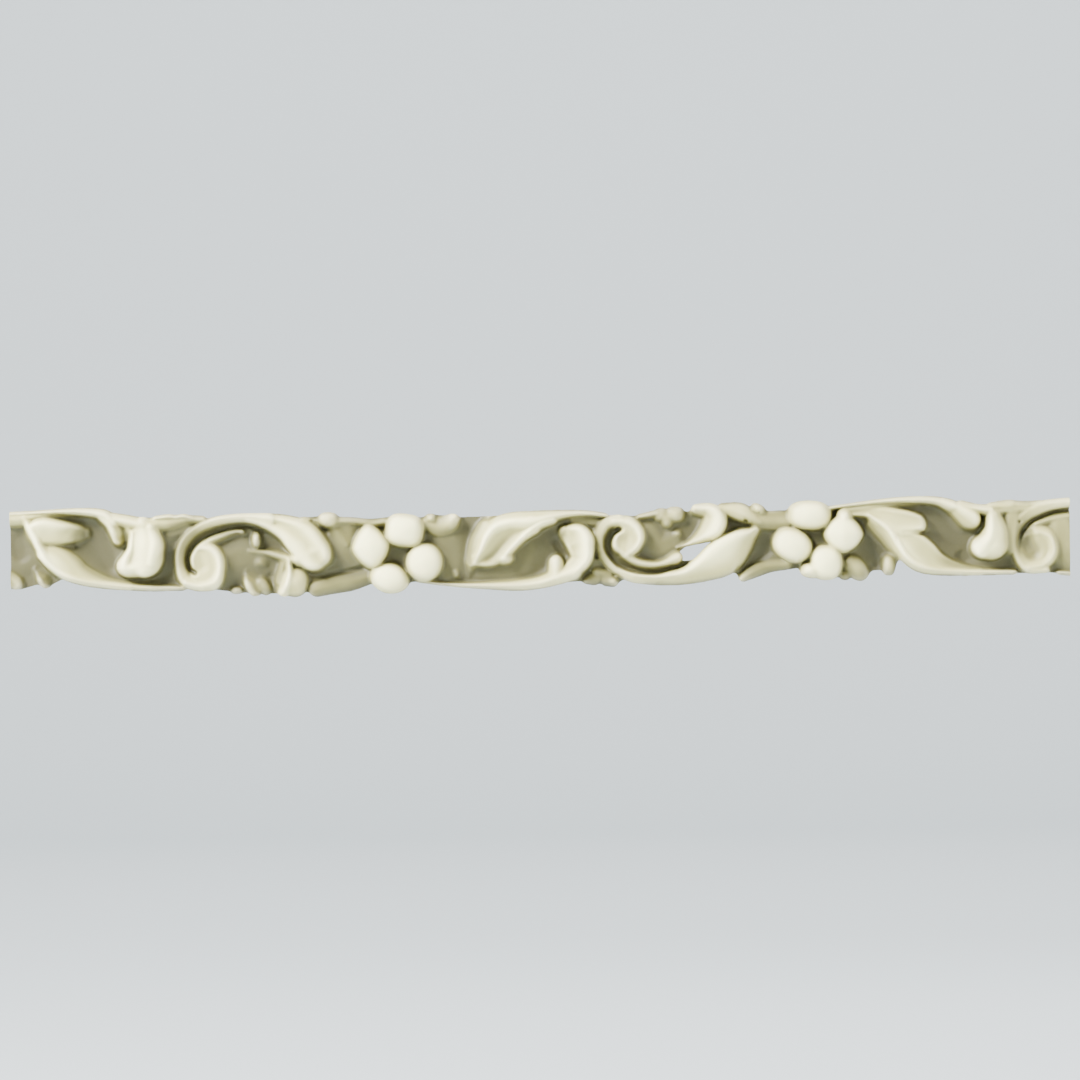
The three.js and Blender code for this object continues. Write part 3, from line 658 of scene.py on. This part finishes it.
def build_strip():
    """The carved face as a grid, pierced, with walls down to a flat back."""
    along = np.linspace(-LENGTH / 2, LENGTH / 2, COLUMNS + 1) / STEP
    low, top = edges_of(along)
    t = np.linspace(0, 1, ROWS + 1)
    t = (1 - CROWDING) * t + CROWDING * (0.5 - 0.5 * np.cos(math.pi * t))
    u = np.repeat(along[:, None], ROWS + 1, axis=1)
    v = low[:, None] + (top - low)[:, None] * t[None, :]
    height = blurred(relief(u, v), CAST_SOFTNESS, "edge")
    # How hollow each point is; the material paints shade into the hollows and a highlight onto the ridges
    # by it
    hollow = hollowness(height)

    bm = bmesh.new()
    bmesh.ops.create_grid(bm, x_segments=COLUMNS, y_segments=ROWS, size=0.5)
    hollow_layer = bm.verts.layers.float.new("hollow")
    height_layer = bm.verts.layers.float.new("height")
    for vert in bm.verts:
        i = round((vert.co.x + 0.5) * COLUMNS)
        j = round((vert.co.y + 0.5) * ROWS)
        vert[hollow_layer] = hollow[i, j]
        vert[height_layer] = height[i, j]
        vert.co = (u[i, j] * STEP * MM, -height[i, j] * MM, v[i, j] * STEP * MM)

    pierce(bm)
    stand_on_back(bm)
    mesh = bpy.data.meshes.new("moulding")
    bm.to_mesh(mesh)
    bm.free()
    strip = bpy.data.objects.new("moulding", mesh)
    bpy.context.scene.collection.objects.link(strip)
    return strip


def pierce(bm):
    """Opens the gap where two leaves part, and lays its border on a smooth line."""
    near = [face for face in bm.faces if is_by_gap(face.calc_center_median())]
    centres = np.array([f.calc_center_median() for f in near]) / MM / STEP
    inside = gap_room(centres[:, 0], centres[:, 2]) > 0
    bmesh.ops.delete(bm, geom=[f for f, gone in zip(near, inside) if gone], context="FACES")
    border = [vert for vert in bm.verts if vert.is_boundary and is_by_gap(vert.co)]
    places = np.array([vert.co for vert in border]) / MM / STEP
    u, v = settle(places[:, 0], places[:, 2])
    for vert, a, c in zip(border, u, v):
        vert.co.x, vert.co.z = a * STEP * MM, c * STEP * MM


def is_by_gap(place):
    along, across = place.x / MM / STEP, place.z / MM / STEP
    return GAP_ALONG[0] < along < GAP_ALONG[1] and GAP_ACROSS[0] < across < GAP_ACROSS[1]


def stand_on_back(bm):
    """Walls from the border of the carved face to the flat back, and the back itself."""
    border = [edge for edge in bm.edges if edge.is_boundary]
    grown = bmesh.ops.extrude_edge_only(bm, edges=border)["geom"]
    for vert in (g for g in grown if isinstance(g, bmesh.types.BMVert)):
        vert.co.y = 0.0
        vert[bm.verts.layers.float["height"]] = BACK_TONE
        vert[bm.verts.layers.float["hollow"]] = 0.0
    rim = [g for g in grown if isinstance(g, bmesh.types.BMEdge) and g.is_boundary]
    bmesh.ops.triangle_fill(bm, use_beauty=True, use_dissolve=False, edges=rim, normal=(0, 1, 0))
    bmesh.ops.recalc_face_normals(bm, faces=bm.faces)
    for face in bm.faces:
        face.smooth = True
    for edge in bm.edges:
        edge.smooth = edge.is_manifold and edge.calc_face_angle(0) < CREASE


# Material

def linear(colour):
    """An sRGB hex colour as linear values."""
    parts = [int(colour[i:i + 2], 16) / 255 for i in (1, 3, 5)]
    return [p / 12.92 if p <= 0.04045 else ((p + 0.055) / 1.055) ** 2.4 for p in parts] + [1.0]


def add(tree, kind, settings=(), inputs=()):
    """A node with its settings and its inputs, each a value or another node's output."""
    node = tree.nodes.new(kind)
    for name, value in dict(settings).items():
        setattr(node, name, value)
    for name, value in dict(inputs).items():
        if isinstance(value, bpy.types.NodeSocket):
            tree.links.new(value, node.inputs[name])
        else:
            node.inputs[name].default_value = value
    return node


def cast_resin():
    """Flexible polymer resin, cast in a mould and left unpainted: cream, a little translucent, with a soft
    satin skin. Painted shade darkens it on the low ground and in the hollows, and a painted highlight
    lightens the ridges."""
    material = bpy.data.materials.new("cast_flexible_resin")
    material.use_nodes = True
    tree = material.node_tree
    tree.nodes.clear()
    place = add(tree, "ShaderNodeTexCoord").outputs["Object"]
    hollow = add(tree, "ShaderNodeAttribute", {"attribute_name": "hollow"}).outputs["Fac"]
    height = add(tree, "ShaderNodeAttribute", {"attribute_name": "height"}).outputs["Fac"]

    cloud = add(tree, "ShaderNodeTexNoise", inputs={"Vector": place, "Scale": 1 / 0.016, "Detail": 2.0})
    stain = add(tree, "ShaderNodeMapRange", inputs={"Value": cloud.outputs["Fac"], "From Min": 0.3,
                                                    "From Max": 0.7, "To Min": -0.35, "To Max": 0.35})
    level = add(tree, "ShaderNodeMath", {"operation": "ADD"}, {0: height, 1: stain.outputs["Result"]})
    # Painted shade by height: the ramp darkens the low ground towards olive and leaves the tall forms cream
    tone = add(tree, "ShaderNodeValToRGB")
    stops = tone.color_ramp
    stops.interpolation = "EASE"
    for stop, (position, colour) in zip(stops.elements, (SHADED_TONES[0], SHADED_TONES[-1])):
        stop.position = position
        stop.color = linear(colour)
    for position, colour in SHADED_TONES[1:-1]:
        stops.elements.new(position).color = linear(colour)
    scaled = add(tree, "ShaderNodeMath", {"operation": "DIVIDE"}, {0: level.outputs["Value"], 1: TONE_TOP})
    tree.links.new(scaled.outputs["Value"], tone.inputs["Fac"])

    # Painted shade: the hollows are mixed towards a dark olive
    deep = add(tree, "ShaderNodeMapRange", {"interpolation_type": "SMOOTHSTEP"},
               {"Value": hollow, "From Min": 0.15, "From Max": 1.3, "To Max": 0.6})
    colour = add(tree, "ShaderNodeMix", {"data_type": "RGBA"}, {"Factor": deep.outputs["Result"]})
    tree.links.new(tone.outputs["Color"], colour.inputs[6])
    colour.inputs[7].default_value = linear(PAINTED_SHADE_COLOUR)
    # Painted highlight: the ridges are mixed towards a pale cream
    ridge = add(tree, "ShaderNodeMapRange", {"interpolation_type": "SMOOTHSTEP"},
                {"Value": hollow, "From Min": -0.3, "From Max": -1.2, "To Max": 0.2})
    lit = add(tree, "ShaderNodeMix", {"data_type": "RGBA"}, {"Factor": ridge.outputs["Result"]})
    tree.links.new(colour.outputs[2], lit.inputs[6])
    lit.inputs[7].default_value = linear(PAINTED_HIGHLIGHT_COLOUR)

    grain = add(tree, "ShaderNodeTexNoise", inputs={"Vector": place, "Scale": 1 / 0.0011, "Detail": 3.0})
    swell = add(tree, "ShaderNodeTexNoise", inputs={"Vector": place, "Scale": 1 / 0.005, "Detail": 1.0})
    soft = add(tree, "ShaderNodeBump", inputs={"Strength": 0.35, "Distance": 0.0003,
                                               "Height": swell.outputs["Fac"]})
    fine = add(tree, "ShaderNodeBump", inputs={"Strength": 0.12, "Distance": 0.00008,
                                               "Height": grain.outputs["Fac"],
                                               "Normal": soft.outputs["Normal"]})
    shine = add(tree, "ShaderNodeMapRange", inputs={"Value": grain.outputs["Fac"], "From Min": 0.3,
                                                    "From Max": 0.7, "To Min": 0.52, "To Max": 0.64})
    shader = add(tree, "ShaderNodeBsdfPrincipled", inputs={
        "Base Color": lit.outputs[2],
        "Roughness": shine.outputs["Result"],
        "IOR": 1.43,
        "Subsurface Weight": 0.2,
        "Subsurface Radius": (1.0, 0.75, 0.45),
        "Subsurface Scale": 0.0009,
        "Normal": fine.outputs["Normal"],
    })
    out = add(tree, "ShaderNodeOutputMaterial")
    tree.links.new(shader.outputs["BSDF"], out.inputs["Surface"])
    return material


# Stage

def plain(name, colour):
    material = bpy.data.materials.new(name)
    material.use_nodes = True
    shader = material.node_tree.nodes["Principled BSDF"]
    shader.inputs["Base Color"].default_value = linear(colour)
    shader.inputs["Roughness"].default_value = 0.9
    return material


def build_floor():
    """A pale floor below the strip that curves up into a wall far behind it."""
    bm = bmesh.new()
    start = [bm.verts.new((x, FLOOR_FRONT, FLOOR_LEVEL)) for x in (-FLOOR_HALF, FLOOR_HALF)]
    edge = [bm.edges.new(start)]
    bend = [(BEND_START + BEND_RADIUS * math.sin(a), FLOOR_LEVEL + BEND_RADIUS * (1 - math.cos(a)))
            for a in np.linspace(0.2, math.pi / 2, 8)]
    y, z = FLOOR_FRONT, FLOOR_LEVEL
    for to_y, to_z in [(BEND_START, FLOOR_LEVEL), *bend, (BEND_START + BEND_RADIUS, WALL_TOP)]:
        grown = bmesh.ops.extrude_edge_only(bm, edges=edge)["geom"]
        bmesh.ops.translate(bm, vec=(0, to_y - y, to_z - z),
                            verts=[g for g in grown if isinstance(g, bmesh.types.BMVert)])
        edge = [g for g in grown if isinstance(g, bmesh.types.BMEdge) and g.is_boundary
                and abs(g.verts[0].co.z - g.verts[1].co.z) < 1e-6
                and abs(g.verts[0].co.y - to_y) < 1e-6]
        y, z = to_y, to_z
    for face in bm.faces:
        face.smooth = True
    mesh = bpy.data.meshes.new("floor")
    bm.to_mesh(mesh)
    bm.free()
    mesh.materials.append(plain("pale_floor", "#cdd5d8"))
    floor = bpy.data.objects.new("floor", mesh)
    bpy.context.scene.collection.objects.link(floor)


def soft_light(name, place, size, power, aim=(0, 0, 0)):
    light = bpy.data.lights.new(name, "AREA")
    light.shape = "RECTANGLE"
    light.size, light.size_y = size
    light.energy = power
    lamp = bpy.data.objects.new(name, light)
    lamp.location = place
    lamp.rotation_euler = (Vector(aim) - Vector(place)).to_track_quat("-Z", "Y").to_euler()
    bpy.context.scene.collection.objects.link(lamp)


def build_lights():
    soft_light("key", (-1.3, -0.8, 1.1), (0.8, 0.7), 245)
    soft_light("fill", (1.5, -0.7, 0.3), (0.9, 0.8), 38)
    soft_light("room", (0.0, -0.4, 4.5), (6.0, 6.0), 180)
    soft_light("back", (0.6, 1.6, 0.9), (1.4, 1.0), 14)
    soft_light("wall", (0.0, 2.0, 2.6), (3.0, 1.0), 160, (0, 5, 1))
    world = bpy.data.worlds.new("studio")
    world.use_nodes = True
    sky = world.node_tree.nodes["Background"]
    sky.inputs["Color"].default_value = linear("#eef1f2")
    sky.inputs["Strength"].default_value = 0.36
    bpy.context.scene.world = world


def build_camera():
    """Straight on, with the strip a little below the middle of the frame and tilted in it."""
    camera = bpy.data.cameras.new("camera")
    camera.lens = LENS
    camera.sensor_width = SENSOR
    camera.clip_end = 50
    away = FRAME_WIDTH / 2 / (SENSOR / 2 / LENS) + CARVING_HEIGHT
    eye = bpy.data.objects.new("camera", camera)
    right = Vector((math.cos(TILT), 0, -math.sin(TILT)))
    up = Vector((math.sin(TILT), 0, math.cos(TILT)))
    turn = Matrix((right, up, right.cross(up))).transposed()
    eye.matrix_world = Matrix.Translation((up * LIFT + Vector((0, -away, 0))) * MM) @ turn.to_4x4()
    bpy.context.scene.collection.objects.link(eye)
    bpy.context.scene.camera = eye


build_camera()
build_floor()
build_lights()

strip = build_strip()
strip.data.materials.append(cast_resin())
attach(strip, "root")
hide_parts("moulding_strip")
